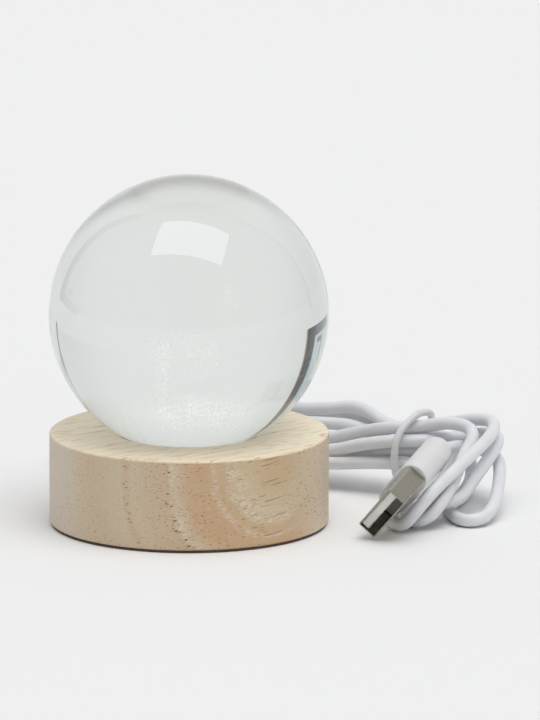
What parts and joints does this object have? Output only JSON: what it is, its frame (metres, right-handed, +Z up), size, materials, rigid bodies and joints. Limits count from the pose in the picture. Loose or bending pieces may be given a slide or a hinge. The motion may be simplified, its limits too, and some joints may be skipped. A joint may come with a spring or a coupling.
{
  "type": "crystal ball night light",
  "caption": "Solid glass ball resting loose on a low round wooden base that hides a light board, with a white cord tied in a hank and a USB plug.",
  "frame": {"origin": "centre of the foot pad's underside, on the table", "axes": "+Z up through the ball's centre, +X right and +Y away as seen from the front; the cord leaves the back"},
  "size_m": [0.0985, 0.0943, 0.0757],
  "materials": {
    "crystal": "polished clear solid glass",
    "wood": "unvarnished pale rubberwood, sanded, with fine pore ticks",
    "opal": "opal acrylic, satin",
    "board": "white solder-masked light board",
    "chip": "surface-mounted lamp with yellow dish",
    "resistor": "chip resistor, dark body",
    "solder": "tin solder",
    "screw_steel": "zinc-plated steel",
    "cover_black": "black moulded plastic",
    "foam_pad": "dark foam rubber foot pad",
    "white_pvc": "cool white soft PVC, satin",
    "lead_red": "red PVC insulation",
    "lead_black": "black PVC insulation",
    "nylon": "natural nylon cable tie",
    "tie_pvc": "white PVC-coated wire",
    "nickel": "nickel-plated folded steel",
    "grip_pvc": "white moulded PVC, matte",
    "tongue_plastic": "pale grey moulded plastic",
    "gilt": "gilt contacts"
  },
  "bodies": {
    "base": {"base_body": "wood", "diffuser_window": "opal", "led_board": "board", "led_chips": "chip", "chip_resistors": "resistor", "solder_joints": "solder", "board_screws": "screw_steel", "cover_screws": "screw_steel", "bottom_cover": "cover_black", "foot_pad": "foam_pad", "cord_tail": "white_pvc", "strain_tie": "nylon", "lead_positive": "lead_red", "lead_negative": "lead_black", "cord_lead": "white_pvc", "cord_hank": "white_pvc", "cord_plug_run": "white_pvc", "twist_tie": "tie_pvc", "plug_grip": "grip_pvc", "plug_shell": "nickel", "plug_tongue": "tongue_plastic", "plug_contacts": "gilt"},
    "ball": {"crystal_ball": "crystal"}
  },
  "joints": [
    {"name": "ball_lift", "type": "slide", "parent": "base", "child": "ball", "axis": [0, 0, 1], "range_m": [0, 0.05]}
  ]
}
